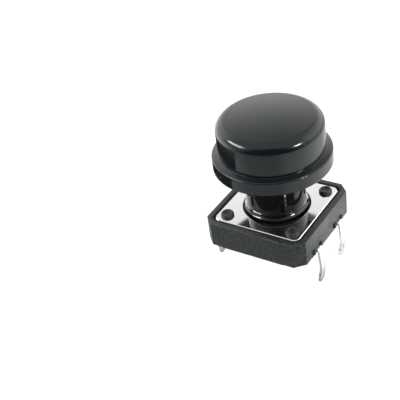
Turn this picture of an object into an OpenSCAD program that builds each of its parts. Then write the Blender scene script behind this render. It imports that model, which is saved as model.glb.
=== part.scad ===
// Tactile push button switch: square moulded base, polished cover plate, four board pins
// and a round press-on cap. Millimetres throughout.
//
// Origin: centre of the base's underside, which seats on the board. +Z points up to the
// cap. The pins leave the two sides that face +X and -X, two on each side.

/* [Base] */
// Width of the square base
base_w = 12; // [11.1:0.1:16]
// Height of the base from its underside to the top of its rim
base_h = 3; // [2.5:0.1:5]
// Flat cut across each upright corner
corner_cut = 1.05; // [0.4:0.05:1.3]
// Width of the rim round the cover plate
rim_w = 0.75; // [0.6:0.05:1]
// Height of the contact chamber's floor above the underside
floor_h = 0.85; // [0.7:0.05:1.1]
// Side of the shallow relief at each corner of the underside
relief_w = 2.3; // [1:0.1:2.8]
// Depth of the corner reliefs
relief_t = 0.1; // [0.05:0.05:0.3]
// Size along X and Y of the two pockets in the underside
pocket_size = [1.2, 1.5];

/* [Cover plate] */
// Thickness of the plate
plate_t = 0.3; // [0.2:0.05:0.4]
// Gap between the plate's edge and the rim
plate_gap = 0.15; // [0.05:0.01:0.2]
// Radius of the plate's corners
plate_corner_r = 0.7; // [0.3:0.1:1]
// Gap between the plunger's collar and the plate's centre hole
bore_gap = 0.2; // [0.1:0.05:0.3]

/* [Staked pegs] */
// Distance from the plate's edge in to the pegs
peg_inset = 1.15; // [0.9:0.05:1.4]
// Diameter of the peg's shank
peg_d = 1.1; // [0.8:0.05:1.4]
// How far the staked head stands out round the shank
peg_head_lap = 0.18; // [0.12:0.02:0.3]
// Height of the staked head above the plate
peg_head_h = 0.36; // [0.2:0.02:0.6]
// Gap round the shank in the plate's hole
peg_gap = 0.05; // [0.02:0.01:0.1]

/* [Pins and terminals] */
// Spacing of the two pins on one side
pin_pitch = 5; // [4.4:0.1:6.2]
// Width of a pin
pin_w = 1; // [0.7:0.05:1.3]
// Thickness of the terminal strip
pin_t = 0.3; // [0.2:0.02:0.4]
// Height above the underside at which the strip leaves the base
pin_exit_h = 0.5; // [0.4:0.05:0.65]
// How far the pins reach below the underside
pin_len = 3.9; // [3.2:0.1:5]
// Distance of the pin tips outside the base's side
pin_stand = 0.25; // [0.2:0.05:0.4]
// How far the leg's knee stands out beyond the tip
pin_bow = 0.34; // [0.3:0.02:0.5]
// How far the leg leans out between its bend and its knee
pin_lean = 0.18; // [0:0.02:0.2]
// How far the low end of the kink stands out beyond the tip
pin_heel = 0.14; // [0:0.02:0.2]
// Depth below the underside at which the kink starts
kink_drop = 1.9; // [1.2:0.1:2.2]
// Height of the kink
kink_h = 0.9; // [0.5:0.1:0.9]
// Middle radius of the bend at the top of a pin
pin_bend_r = 0.3; // [0.2:0.05:0.3]
// Corner cut at each side of a pin's tip
pin_tip_cut = 0.25; // [0.1:0.05:0.35]

/* [Pin ribs] */
// How far the ribs beside a pin stand out from the base's side
rib_out = 0.2; // [0.1:0.05:0.6]
// Thickness of a rib
rib_t = 0.35; // [0.2:0.05:0.45]
// Gap between a rib and the pin
rib_gap = 0.12; // [0.05:0.01:0.15]
// Lowest height of the ribs above the underside
rib_low = 0.25; // [0.05:0.05:0.4]
// Height of the ribs' top above the underside
rib_high = 0.8; // [0.7:0.05:1.2]

/* [Contacts] */
// Gap between the snap dome's rim and the chamber's wall
dome_room = 0.65; // [0.55:0.05:1]
// Rise of the snap dome
dome_rise = 0.4; // [0.34:0.02:0.5]
// Thickness of the snap dome
dome_t = 0.1; // [0.06:0.01:0.12]
// How far the outer contacts stand above the chamber's floor
contact_proud = 0.05; // [0.02:0.01:0.1]
// Diameter of the centre contact
centre_contact_d = 1.4; // [1:0.1:1.8]
// Size along X and Y of an outer contact's face
outer_contact_size = [0.6, 1.2];
// Width of the strip left round a raised contact
pad_margin = 0.25; // [0.1:0.05:0.4]

/* [Plunger] */
// Travel of the button
travel = 0.3; // [0.2:0.02:0.36]
// How far the retaining flange reaches under the cover plate
flange_lap = 0.4; // [0.2:0.05:0.5]
// Thickness of the retaining flange
flange_t = 0.55; // [0.4:0.05:0.7]
// Gap between the flange's edge and the chamber's wall
flange_room = 0.25; // [0.1:0.05:0.35]
// Gap above the flange and below the presser nub
flange_gap = 0.02; // [0.01:0.01:0.03]
// Diameter of the presser nub
nub_d = 2; // [1:0.1:3]
// Diameter of the round stem
stem_d = 6.55; // [5.45:0.05:7.85]
// How far the collar in the plate's hole stands out round the stem
collar_out = 0.225; // [0.1:0.025:0.3]
// Height of the collar's edge above the plate
collar_h = 0.3; // [0.05:0.05:0.4]
// Height of the flare between the collar and the stem
flare_h = 0.55; // [0.1:0.05:0.7]
// Height of the stem's shoulder above the rim
stem_h = 6.4; // [4:0.1:12]
// Side of the square tenon that holds the cap
tenon_w = 3.8; // [3:0.1:4.6]
// Bevel round the tenon's end
tenon_bevel = 0.3; // [0.1:0.05:0.5]

/* [Cap] */
// Diameter of the cap's body
cap_d = 11.4; // [9:0.1:14]
// Height of the cap from its mouth to the edge of its top
cap_h = 5.5; // [4.1:0.1:8]
// Rise of the cap's crowned top above that edge
cap_crown = 0.25; // [0.1:0.05:0.6]
// Radius of the edge round the top
cap_edge_r = 1.1; // [0.4:0.1:1.2]
// How far the lip stands out from the cap's body
lip_out = 0.7; // [0.5:0.05:1]
// Height of the lip
lip_h = 1.65; // [1:0.05:2]
// Radius of the lip's upper edge
lip_edge_r = 0.4; // [0.1:0.05:0.5]
// Thickness of the cap's side wall
cap_wall = 0.55; // [0.4:0.05:0.8]
// Thickness of the cap's top at its edge
cap_top_t = 1.3; // [0.9:0.1:2]
// Thickness of the boss's wall at the tenon's corners
boss_wall = 0.3; // [0.2:0.05:0.6]
// How far the boss's end lies inside the cap's mouth
boss_inset = 0.8; // [0.3:0.1:1.5]
// Gap between the tenon's end and the cap's ceiling
socket_gap = 0.1; // [0.05:0.05:0.3]

/* [Hidden] */
$fn = 96;
// Steps along a pin's top bend
bend_steps = 8;
// Steps along the snap dome's section
dome_steps = 12;
// Overshoot of cutting shapes
cut = 1;

// Cover plate's seat, and the plate in it
seat_half = base_w / 2 - rim_w;
plate_half = seat_half - plate_gap;
seat_z = base_h - plate_t;
peg_xy = plate_half - peg_inset;
peg_head_d = peg_d + 2 * peg_head_lap;

// Diameters from the stem outwards
collar_d = stem_d + 2 * collar_out;
plate_bore_d = collar_d + 2 * bore_gap;
flange_d = plate_bore_d + 2 * flange_lap;
chamber_d = flange_d + 2 * flange_room;
dome_d = chamber_d - 2 * dome_room;

// Terminal strip levels and pin stations
strip_low = pin_exit_h - pin_t / 2;
strip_high = pin_exit_h + pin_t / 2;
pin_y = pin_pitch / 2;
tip_x = base_w / 2 + pin_stand;
leg_x = tip_x + pin_bow;
kink_x = tip_x + pin_heel;
bend_x = leg_x - pin_lean - pin_bend_r;
kink_low_z = -kink_drop - kink_h;

// Contacts: the dome rests on the outer pair and meets the centre one after its travel
contact_z = floor_h + contact_proud;
outer_contact_x = dome_d / 2;
outer_pad_half = outer_contact_size / 2 + [pad_margin, 0];
dome_top_z = contact_z + dome_rise + dome_t;
centre_contact_z = contact_z + dome_rise - travel;
centre_pad_d = centre_contact_d + 2 * pad_margin;

// Plunger levels
flange_top_z = seat_z - flange_gap;
flange_low_z = flange_top_z - flange_t;
nub_low_z = dome_top_z + flange_gap;
collar_top_z = base_h + collar_h;
shoulder_z = base_h + stem_h;

// Cap levels and radii, and the tenon and boss inside it
cap_r = cap_d / 2;
lip_r = cap_r + lip_out;
mouth_z = shoulder_z - boss_inset;
cap_top_z = mouth_z + cap_h;
ceiling_z = cap_top_z - cap_top_t;
tenon_h = ceiling_z - socket_gap - shoulder_z;
boss_d = sqrt(2) * tenon_w + 2 * boss_wall;
crown_edge_r = cap_r - cap_edge_r;
crown_r = (crown_edge_r * crown_edge_r + cap_crown * cap_crown) / (2 * cap_crown);

// Square with its corners cut off flat
module cut_square(half, corner) {
    near = half - corner;
    polygon([[-near, -half], [near, -half], [half, -near], [half, near],
             [near, half], [-near, half], [-half, near], [-half, -near]]);
}

// Square with round corners
module round_square(half, corner_r) {
    near = half - corner_r;
    square([2 * half, 2 * near], center = true);
    square([2 * near, 2 * half], center = true);
    for (sx = [-1, 1], sy = [-1, 1])
        translate([sx * near, sy * near]) circle(r = corner_r);
}

// One copy of the children at each staked peg
module at_pegs() {
    for (sx = [-1, 1], sy = [-1, 1])
        translate([sx * peg_xy, sy * peg_xy, 0]) children();
}

// Unit direction of a segment, and the unit normal to its left
function direction(a, b) = (b - a) / norm(b - a);
function left_normal(a, b) = let (d = direction(a, b)) [-d.y, d.x];

// Offset of point i of a path to its left, mitred where two segments meet
function offset_point(path, i, distance) =
    let (last = len(path) - 1,
         n0 = left_normal(path[max(i - 1, 0)], path[max(i, 1)]),
         n1 = left_normal(path[min(i, last - 1)], path[min(i + 1, last)]))
    path[i] + distance * (n0 + n1) / (1 + n0 * n1);

// Closed outline of a strip of even thickness along a path
function strip_outline(path, thickness) =
    let (last = len(path) - 1)
    concat([for (i = [0 : last]) offset_point(path, i, thickness / 2)],
           [for (i = [last : -1 : 0]) offset_point(path, i, -thickness / 2)]);

// Middle line of a pin in the XZ plane, from inside the base to the tip
leg_path = concat(
    [[seat_half, pin_exit_h]],
    [for (i = [0 : bend_steps])
        let (angle = 90 - 90 * i / bend_steps)
        [bend_x + pin_bend_r * cos(angle), pin_exit_h - pin_bend_r + pin_bend_r * sin(angle)]],
    [[leg_x, -kink_drop], [kink_x, kink_low_z], [tip_x, -pin_len]]);

// Pin outline seen along X: straight sides and a tip with cut corners
module pin_front() {
    half = pin_w / 2;
    tip_half = half - pin_tip_cut;
    polygon([[-half, base_h], [-half, pin_tip_cut - pin_len], [-tip_half, -pin_len],
             [tip_half, -pin_len], [half, pin_tip_cut - pin_len], [half, base_h]]);
}

// One pin on the +X side
module leg() {
    intersection() {
        rotate([90, 0, 0])
            linear_extrude(height = pin_w, center = true)
                polygon(strip_outline(leg_path, pin_t));
        rotate([90, 0, 90])
            linear_extrude(height = leg_x + cut)
                pin_front();
    }
}

// Flat strip across the base with a pin at each end, on the line y = 0
module pin_strip() {
    leg();
    mirror([1, 0, 0]) leg();
    translate([-seat_half, -pin_w / 2, strip_low]) cube([2 * seat_half, pin_w, pin_t]);
}

module terminal_centre() {
    color("gainsboro") {
        translate([0, pin_y, 0]) pin_strip();
        translate([-pin_w / 2, 0, strip_low]) cube([pin_w, pin_y, pin_t]);
        translate([0, 0, strip_low]) cylinder(d = centre_pad_d, h = pin_t);
        translate([0, 0, strip_low])
            cylinder(d = centre_contact_d, h = centre_contact_z - strip_low);
    }
}

module terminal_outer() {
    color("gainsboro") {
        translate([0, -pin_y, 0]) pin_strip();
        for (side = [-1, 1])
            translate([side * outer_contact_x, 0, strip_low]) {
                translate([-outer_pad_half.x, -pin_y, 0])
                    cube([2 * outer_pad_half.x, pin_y + outer_pad_half.y, pin_t]);
                translate([-outer_contact_size.x / 2, -outer_contact_size.y / 2, 0])
                    cube([outer_contact_size.x, outer_contact_size.y, contact_z - strip_low]);
            }
    }
}

// Section of the snap dome: an arc through its rim and its crest
module dome_section() {
    half = dome_d / 2;
    arc_r = (half * half + dome_rise * dome_rise) / (2 * dome_rise);
    reach = asin(half / arc_r);
    centre_z = contact_z + dome_rise - arc_r;
    low = [for (i = [0 : dome_steps])
        let (a = reach * (1 - i / dome_steps)) [arc_r * sin(a), centre_z + arc_r * cos(a)]];
    high = [for (i = [dome_steps : -1 : 0])
        let (a = reach * (1 - i / dome_steps), r = arc_r + dome_t) [r * sin(a), centre_z + r * cos(a)]];
    polygon(concat(low, high));
}

module contact_dome() {
    color("silver") rotate_extrude() dome_section();
}

// Pair of ribs beside one pin on the +X side
module pin_ribs() {
    reach = pin_w / 2 + rib_gap;
    for (side = [-1, 1])
        translate([base_w / 2 - rim_w / 2, side * (reach + rib_t / 2) - rib_t / 2, rib_low])
            cube([rim_w / 2 + rib_out, rib_t, rib_high - rib_low]);
}

// Recess in the base's side that lets a pin bend down clear of the wall
module pin_notch() {
    notch_w = pin_w + 2 * rib_gap;
    translate([base_w / 2 - rim_w / 2, -notch_w / 2, -cut])
        cube([rim_w / 2 + cut, notch_w, strip_high + cut]);
}

module base() {
    color([0.16, 0.165, 0.165])
        difference() {
            union() {
                linear_extrude(height = base_h) cut_square(base_w / 2, corner_cut);
                for (flip = [0, 1], side = [-1, 1])
                    mirror([flip, 0, 0]) translate([0, side * pin_y, 0]) pin_ribs();
                at_pegs() {
                    cylinder(d = peg_d, h = base_h);
                    translate([0, 0, base_h]) cylinder(d = peg_head_d, h = peg_head_h);
                }
            }
            // Seat for the cover plate, leaving the peg shanks
            difference() {
                translate([0, 0, seat_z])
                    linear_extrude(height = plate_t) round_square(seat_half, plate_corner_r);
                at_pegs() cylinder(d = peg_d, h = base_h);
            }
            // Contact chamber
            translate([0, 0, floor_h]) cylinder(d = chamber_d, h = base_h - floor_h + cut);
            // Reliefs at the underside's corners
            for (sx = [-1, 1], sy = [-1, 1])
                translate([sx * (base_w / 2 - relief_w / 2), sy * (base_w / 2 - relief_w / 2), 0])
                    cube([relief_w, relief_w, 2 * relief_t], center = true);
            // Pockets under the outer contacts
            for (side = [-1, 1])
                translate([side * outer_contact_x - pocket_size.x / 2, -pocket_size.y / 2, -cut])
                    cube([pocket_size.x, pocket_size.y, strip_low + cut]);
            // Pin notches and the room that the two terminals fill
            for (flip = [0, 1], side = [-1, 1])
                mirror([flip, 0, 0]) translate([0, side * pin_y, 0]) pin_notch();
            terminal_centre();
            terminal_outer();
        }
}

module cover_plate() {
    color([0.86, 0.86, 0.84])
        translate([0, 0, seat_z])
            difference() {
                linear_extrude(height = plate_t) round_square(plate_half, plate_corner_r);
                translate([0, 0, -cut]) cylinder(d = plate_bore_d, h = plate_t + 2 * cut);
                at_pegs() translate([0, 0, -cut])
                    cylinder(d = peg_d + 2 * peg_gap, h = plate_t + 2 * cut);
            }
}

// Turned section of the plunger below its tenon
module plunger_section() {
    polygon([[0, nub_low_z], [nub_d / 2, nub_low_z], [nub_d / 2, flange_low_z],
             [flange_d / 2, flange_low_z], [flange_d / 2, flange_top_z],
             [collar_d / 2, flange_top_z], [collar_d / 2, collar_top_z],
             [stem_d / 2, collar_top_z + flare_h], [stem_d / 2, shoulder_z], [0, shoulder_z]]);
}

// Square tenon with a bevelled end: two crossed trapezoid prisms
module tenon() {
    half = tenon_w / 2;
    near = half - tenon_bevel;
    outline = [[-half, 0], [half, 0], [half, tenon_h - tenon_bevel], [near, tenon_h],
               [-near, tenon_h], [-half, tenon_h - tenon_bevel]];
    translate([0, 0, shoulder_z])
        intersection() {
            rotate([90, 0, 0]) linear_extrude(height = tenon_w, center = true) polygon(outline);
            rotate([90, 0, 90]) linear_extrude(height = tenon_w, center = true) polygon(outline);
        }
}

module plunger() {
    color([0.05, 0.05, 0.055]) {
        rotate_extrude() plunger_section();
        tenon();
    }
}

// Half section of the cap, right of its axis, with all but the tenon's socket
module cap_section() {
    difference() {
        union() {
            translate([0, mouth_z]) square([cap_r, cap_h - cap_edge_r]);
            translate([0, mouth_z]) square([crown_edge_r, cap_h]);
            translate([crown_edge_r, cap_top_z - cap_edge_r]) circle(r = cap_edge_r);
            translate([0, mouth_z]) square([lip_r, lip_h - lip_edge_r]);
            translate([0, mouth_z]) square([lip_r - lip_edge_r, lip_h]);
            translate([lip_r - lip_edge_r, mouth_z + lip_h - lip_edge_r]) circle(r = lip_edge_r);
            intersection() {
                translate([0, cap_top_z + cap_crown - crown_r]) circle(r = crown_r, $fn = 720);
                translate([0, ceiling_z]) square([crown_edge_r, cap_top_t + cap_crown]);
            }
        }
        translate([0, mouth_z - cut]) square([cap_r - cap_wall, boss_inset + cut]);
        translate([boss_d / 2, mouth_z]) square([cap_r - cap_wall - boss_d / 2, ceiling_z - mouth_z]);
    }
}

module button_cap() {
    color([0.12, 0.125, 0.13])
        difference() {
            rotate_extrude() cap_section();
            translate([-tenon_w / 2, -tenon_w / 2, shoulder_z - cut])
                cube([tenon_w, tenon_w, ceiling_z - shoulder_z + cut]);
        }
}

base();
terminal_centre();
terminal_outer();
contact_dome();
plunger();
cover_plate();
button_cap();
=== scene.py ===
"""Visual model of a tactile push button switch, laid out as a Blender add-on and run as a script.

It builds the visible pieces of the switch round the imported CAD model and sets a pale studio
stage. Properties and meshes are in metres; profiles and outlines are worked out in millimetres.
"""

import math
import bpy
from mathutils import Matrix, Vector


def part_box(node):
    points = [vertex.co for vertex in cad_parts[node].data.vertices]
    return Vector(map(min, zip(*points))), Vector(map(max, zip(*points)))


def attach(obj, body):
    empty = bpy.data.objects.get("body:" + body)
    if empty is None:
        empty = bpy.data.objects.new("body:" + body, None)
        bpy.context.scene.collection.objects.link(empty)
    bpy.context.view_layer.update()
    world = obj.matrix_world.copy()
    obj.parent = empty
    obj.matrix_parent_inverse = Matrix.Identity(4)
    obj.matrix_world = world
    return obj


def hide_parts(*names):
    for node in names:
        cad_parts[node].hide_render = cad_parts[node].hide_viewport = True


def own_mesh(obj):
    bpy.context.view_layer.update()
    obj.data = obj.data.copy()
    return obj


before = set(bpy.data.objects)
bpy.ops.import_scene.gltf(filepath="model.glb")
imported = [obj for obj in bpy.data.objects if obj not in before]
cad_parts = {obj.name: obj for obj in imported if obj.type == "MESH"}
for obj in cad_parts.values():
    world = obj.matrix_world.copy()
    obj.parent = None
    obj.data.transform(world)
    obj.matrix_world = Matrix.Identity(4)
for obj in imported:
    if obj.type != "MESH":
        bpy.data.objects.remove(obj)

from types import SimpleNamespace

import bmesh
import bpy
import numpy as np
from mathutils import Matrix, Vector

bl_info = {
    "name": "Tactile Push Button Switch",
    "version": (1, 0, 0),
    "blender": (4, 5, 0),
    "location": "View3D > Sidebar > Switch",
    "description": "Builds a square tactile switch with a round cap, and its studio stage",
    "category": "Object",
}

MM = 0.001
SIDES = (-1, 1)
RING = 128  # points round every lofted ring, a multiple of 16
FINE_ARC = 8  # steps in a large fillet
SMALL_ARC = 3  # steps in a small fillet
CROWN_STEPS = 12  # steps from the middle of the cap's top to its rounded edge
DOME_STEPS = 18  # steps from the snap dome's crest to its rim
GUARD = 0.01  # mm from a fillet to its guard points
CLEAR = 1.0  # mm that a cutter reaches past what it cuts
NOTCH_GAP = 0.02  # mm over a pin in its notch
BAR_LAP = 0.3  # mm that a strip's straight bar runs on into its pins
MERGE = 1e-7  # metres within which two vertices become one
KNEE_STEPS = 6  # steps in each bend of a pin's kink
SHARP_ANGLE = math.radians(32)
# Places on the way from a pin's kink to its tip, and the share of its width there.
TIP_WIDTHS = ((0.6, 1.0), (0.76, 1.0), (0.84, 0.95), (0.92, 0.82), (0.97, 0.68), (1.0, 0.5))
LAMP_DISTANCE, LAMP_AIM = 0.3, 0.008  # metres from the lamps to their aim, and its height
LAMPS = (  # name, azimuth and elevation in degrees, width and height in metres
    ("left_soft_lamp", -50.0, 27.5, 0.185, 0.055),
    ("right_small_lamp", 83.0, 13.5, 0.06, 0.036),
)
# Painted shadows and painted pools of light that gloss sees on the floor: degrees on from the dark side, span
# of that bearing's cosine, start and end of the near edge and of the far edge in mm from the middle,
# brightness.
PAINTED_FLOOR_SHADOWS_AND_POOLS = (
    (206, (0.85, 0.95), (0.0, 0.01), (37.0, 46.0), 0.4),
    (-108, (0.755, 0.79), (20.0, 21.5), (30.5, 33.0), 0.02),
    (-13, (0.03, 0.12), (13.5, 15.0), (19.0, 22.0), 0.1),
    (94, (0.87, 0.95), (10.0, 11.5), (15.0, 17.0), 4.2),
)

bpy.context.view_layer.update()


def box_in_mm(node):
    """Lowest and highest corner of a CAD node, in millimetres."""
    return [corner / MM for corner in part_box(node)]


BASE_HIGH = box_in_mm("base")[1]
PLATE_LOW, PLATE_HIGH = box_in_mm("cover_plate")
CENTRE_LOW, CENTRE_HIGH = box_in_mm("terminal_centre")
OUTER_LOW, OUTER_HIGH = box_in_mm("terminal_outer")
PLUNGER_LOW, PLUNGER_HIGH = box_in_mm("plunger")
CAP_LOW, CAP_HIGH = box_in_mm("button_cap")
DOME_LOW, DOME_HIGH = box_in_mm("contact_dome")


# --- properties


def length(name, millimetres, description):
    """A length property in metres, its default given in millimetres."""
    return bpy.props.FloatProperty(
        name=name, description=description, default=round(millimetres * MM, 8),
        min=0.0, precision=6, unit="LENGTH")


def colour(name, rgb, description):
    """A colour property."""
    return bpy.props.FloatVectorProperty(
        name=name, description=description, default=rgb, size=3, min=0.0, max=1.0, subtype="COLOR")


def angle(name, degrees, description):
    """An angle property, its default given in degrees."""
    return bpy.props.FloatProperty(
        name=name, description=description, default=math.radians(degrees), subtype="ANGLE")


def number(name, value, description):
    """A plain number property."""
    return bpy.props.FloatProperty(name=name, description=description, default=value)


def in_mm(group):
    """The values of a property group of lengths by name, in millimetres."""
    return SimpleNamespace(**{name: getattr(group, name) / MM for name in type(group).__annotations__})


class BaseSizes(bpy.types.PropertyGroup):
    """Sizes of the moulded base."""
    half: length("Half width", BASE_HIGH.y, "Half the width of the square base")
    height: length("Height", PLATE_HIGH.z, "Height of the rim")
    corner_cut: length("Corner cut", 1.05, "Flat cut across each upright corner")
    rim: length("Rim width", 0.75, "Width of the rim round the cover plate")
    seat_corner: length("Seat corner", 0.7, "Corner radius of the cover plate's seat")
    edge: length("Top edge", 0.13, "Radius of the rim's outer edge")
    lip: length("Inner edge", 0.04, "Radius of the seat's and chamber's edges")
    foot: length("Foot edge", 0.05, "Radius of the lower outer edge")
    chamber: length("Chamber radius", 4.35, "Radius of the contact chamber")
    floor: length("Chamber floor", 0.85, "Height of the chamber's floor")
    relief: length("Relief width", 2.3, "Side of the corner reliefs below")
    relief_depth: length("Relief depth", 0.1, "Depth of the corner reliefs")
    pocket_x: length("Pocket half length", 0.6, "Half the length of the pockets below")
    pocket_y: length("Pocket half width", 0.75, "Half the width of the pockets below")
    pocket_depth: length("Pocket depth", 0.37, "Depth of the pockets below")


class PegSizes(bpy.types.PropertyGroup):
    """Sizes of the four staked pegs."""
    station: length("Station", 3.95, "Distance of each peg from both middle lines")
    shank: length("Shank radius", 0.55, "Radius of the peg's shank")
    head: length("Head radius", 0.73, "Radius of the staked head")
    top: length("Top height", BASE_HIGH.z, "Height of the head's top")
    roughness: length("Crater depth", 0.07, "Height of the pressed crater's lumps")
    seed: bpy.props.IntProperty(name="Seed", description="Seed of the lumps on the heads", default=7)


class RibSizes(bpy.types.PropertyGroup):
    """Sizes of the ribs beside the pins."""
    reach: length("Reach", BASE_HIGH.x, "Distance of the ribs' faces from the middle")
    thickness: length("Thickness", 0.35, "Thickness of a rib")
    gap: length("Gap", 0.12, "Gap between a rib and the pin")
    low: length("Low end", 0.25, "Height of the ribs' lower end")
    high: length("High end", 0.8, "Height of the ribs' upper end")
    edge: length("Edge", 0.05, "Width of the softened edges")


class PlateSizes(bpy.types.PropertyGroup):
    """Sizes of the cover plate."""
    half: length("Half width", PLATE_HIGH.x, "Half the width of the plate")
    corner: length("Corner radius", 0.7, "Radius of the plate's corners")
    bore: length("Bore radius", 3.7, "Radius of the centre hole")
    peg_hole: length("Peg hole radius", 0.6, "Radius of the holes for the pegs")
    edge: length("Edge radius", 0.065, "Rounding of the blanked edges")


class PinSizes(bpy.types.PropertyGroup):
    """Sizes of the two terminals, their pins and their contacts."""
    width: length("Width", 1.0, "Width of a pin")
    thickness: length("Thickness", 0.3, "Thickness of the strip")
    edge: length("Edge radius", 0.05, "Radius of the pins' edges")
    exit_height: length("Exit height", 0.5, "Height at which a pin leaves the base")
    bend: length("Bend radius", 0.3, "Middle radius of the bend at the top of a pin")
    kink_drop: length("Kink start", 1.9, "Depth below the base at which the kink starts")
    kink_height: length("Kink height", 0.9, "Height of the kink")
    bow: length("Bow", 0.34, "How far the leg's knee stands out beyond the tip")
    lean: length("Lean", 0.18, "How far the leg leans out from bend to knee")
    heel: length("Heel", 0.14, "How far the kink's low end stands out beyond the tip")
    button: length("Centre contact", 0.7, "Radius of the raised centre contact")
    arm: length("Arm half width", 0.55, "Half the width of the arms to the outer contacts")
    arm_end: length("Arm end", 0.6, "How far the arms and their contacts pass the middle line")
    pad: length("Outer contact", 0.3, "Half the width of the raised outer contacts")


class DomeSizes(bpy.types.PropertyGroup):
    """Sizes of the snap dome, whose box comes from the frame."""
    sheet: length("Thickness", 0.1, "Thickness of the dome's sheet")
    dimple: length("Dimple radius", 0.45, "Radius of the dimple in the dome's crest")
    dimple_depth: length("Dimple depth", 0.05, "Depth of the dimple in the dome's crest")


class ButtonSizes(bpy.types.PropertyGroup):
    """Sizes of the plunger and the cap."""
    stem: length("Stem radius", 3.275, "Radius of the round stem")
    collar: length("Collar radius", 3.5, "Radius of the collar in the plate's hole")
    collar_top: length("Collar top", 3.3, "Height of the collar's edge")
    flare: length("Flare height", 0.55, "Height of the flare above the collar")
    nub: length("Nub radius", 1.0, "Radius of the nub that presses the dome")
    flange: length("Flange radius", PLUNGER_HIGH.x, "Radius of the retaining flange")
    flange_low: length("Flange underside", 2.13, "Height of the flange's underside")
    flange_high: length("Flange top", 2.68, "Height of the flange's top")
    shoulder: length("Shoulder", 9.4, "Height of the stem's shoulder")
    tenon: length("Tenon half width", 1.9, "Half the width of the square tenon")
    lead: length("Tenon lead", 0.3, "Chamfer at the end of the tenon")
    cap: length("Cap radius", 5.7, "Radius of the cap's body")
    lip: length("Lip radius", CAP_HIGH.x, "Radius of the cap's lip")
    lip_height: length("Lip height", 1.6, "Height of the lip")
    lip_edge: length("Lip edge radius", 0.15, "Radius of the lip's upper edge")
    lip_fall: length("Lip fall", 0.2, "How far the lip's top slopes down to its edge")
    top_edge: length("Top edge radius", 1.1, "Radius of the edge round the cap's top")
    crown: length("Crown", 0.25, "Rise of the cap's crowned top")
    wall: length("Cap wall", 0.55, "Thickness of the cap's side wall")
    ceiling: length("Cap ceiling", 12.8, "Height of the cap's inner ceiling")
    boss: length("Boss radius", 2.987, "Outer radius of the boss that grips the tenon")


class FinishColours(bpy.types.PropertyGroup):
    """Colours and roughness of the finishes."""
    base: colour("Base", (0.0155, 0.0200, 0.0190), "Matt moulded base plastic")
    stem: colour("Stem", (0.0045, 0.0048, 0.0055), "Glossy plunger plastic")
    # The stem's painted highlight streak and the painted glint at its top end.
    seam: colour("Parting line", (0.13, 0.135, 0.135), "Parting line of the stem's moulding")
    painted_streak_glint: colour("Parting line's end", (0.75, 0.75, 0.74), "Bright upper end of the parting line")
    cap: colour("Cap", (0.0040, 0.0075, 0.0085), "Satin cap plastic")
    dust: colour("Dust", (0.16, 0.17, 0.16), "Specks of dust on the cap")
    plate: colour("Cover plate", (0.90, 0.90, 0.885), "Polished stainless sheet")
    tin: colour("Pins", (0.93, 0.93, 0.92), "Tin plating")
    dome: colour("Snap dome", (0.72, 0.72, 0.70), "Spring steel")
    base_roughness: number("Base roughness", 0.5, "Roughness of the base plastic")
    stem_roughness: number("Stem roughness", 0.09, "Roughness of the plunger plastic")
    cap_roughness: number("Cap roughness", 0.155, "Roughness of the cap plastic")
    plate_roughness: number("Plate roughness", 0.07, "Roughness of the cover plate")
    # Heading of the stem's painted highlight streak.
    painted_streak_heading: angle("Parting line heading", 47.5, "Azimuth of the stem's parting line")


class StageSettings(bpy.types.PropertyGroup):
    """Camera, lamps and surroundings."""
    azimuth: angle("Azimuth", 37.327, "Camera azimuth, from the side that faces -Y")
    elevation: angle("Elevation", 35.517, "Camera elevation")
    roll: angle("Roll", -8.772, "Camera roll")
    distance: length("Distance", 105.627, "Distance from the camera to its aim")
    aim: bpy.props.FloatVectorProperty(
        name="Aim", description="Point that the camera looks at", size=3, precision=6,
        default=(-0.010826, 0.000566, 0.0), subtype="XYZ", unit="LENGTH")
    lens: number("Focal length", 80.675, "Focal length in millimetres")
    dark_side: angle("Dark side", 24.0, "Azimuth of the dark side of the room")
    dark_height: angle("Dark height", -8.0, "Elevation of the middle of the dark side")
    floor: length("Floor size", 1500.0, "Half the width of the floor")
    left_lamp: number("Left lamp", 16.5, "Radiance of the long lamp at the left")
    right_lamp: number("Right lamp", 60.0, "Radiance of the small lamp at the right")
    sky: number("Sky", 0.76, "Radiance of the surroundings overhead")
    back: number("Back light", 1.1, "Radiance that the walls behind add")


# --- node helpers


def operation(name, swapped=False):
    """A method that adds this Math node, with its two values swapped for a reflected form."""
    def method(self, *others):
        values = (*others, self) if swapped else (self, *others)
        return add_node(self.tree, "ShaderNodeMath", dict(enumerate(values)), operation=name)
    return method


class Signal:
    """An output socket that takes part in Python arithmetic; each operation adds a Math node."""

    def __init__(self, tree, socket):
        self.tree, self.socket = tree, socket

    __add__ = __radd__ = operation("ADD")
    __sub__, __rsub__ = operation("SUBTRACT"), operation("SUBTRACT", swapped=True)
    __mul__ = __rmul__ = operation("MULTIPLY")
    __truediv__, __rtruediv__ = operation("DIVIDE"), operation("DIVIDE", swapped=True)
    __gt__, __abs__ = operation("GREATER_THAN"), operation("ABSOLUTE")
    larger, root = operation("MAXIMUM"), operation("SQRT")


def add_node(tree, kind, values=None, out=0, **settings):
    """Adds a node of this type, first its settings, then its sockets' values or links.

    Gives the output of this name or number as a signal, or the node itself if that is None.
    """
    node = tree.nodes.new(kind)
    for name, value in settings.items():
        setattr(node, name, value)
    for name, value in (values or {}).items():
        if isinstance(value, Signal):
            tree.links.new(value.socket, node.inputs[name])
        else:
            node.inputs[name].default_value = value
    return node if out is None else Signal(tree, node.outputs[out])


def mixed(factor, first, second):
    """Mix of two colours by a factor."""
    return add_node(factor.tree, "ShaderNodeMix", {0: factor, 6: first, 7: second}, out=2, data_type="RGBA")


def rgba(rgb, gain=1.0):
    """A colour with its alpha, brightened by a factor."""
    return (*(min(1.0, part * gain) for part in rgb), 1.0)


def grey(level):
    """A grey with its alpha, which may be brighter than white."""
    return (level, level, level, 1.0)


def coated(rgb, gain, *coats):
    """This colour times a gain under coats of (mask, gain or other colour), laid on in turn."""
    tone = rgba(rgb, gain)
    for mask, coat in coats:
        tone = mixed(mask, tone, rgba(rgb, coat) if isinstance(coat, float) else rgba(coat))
    return tone


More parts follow.
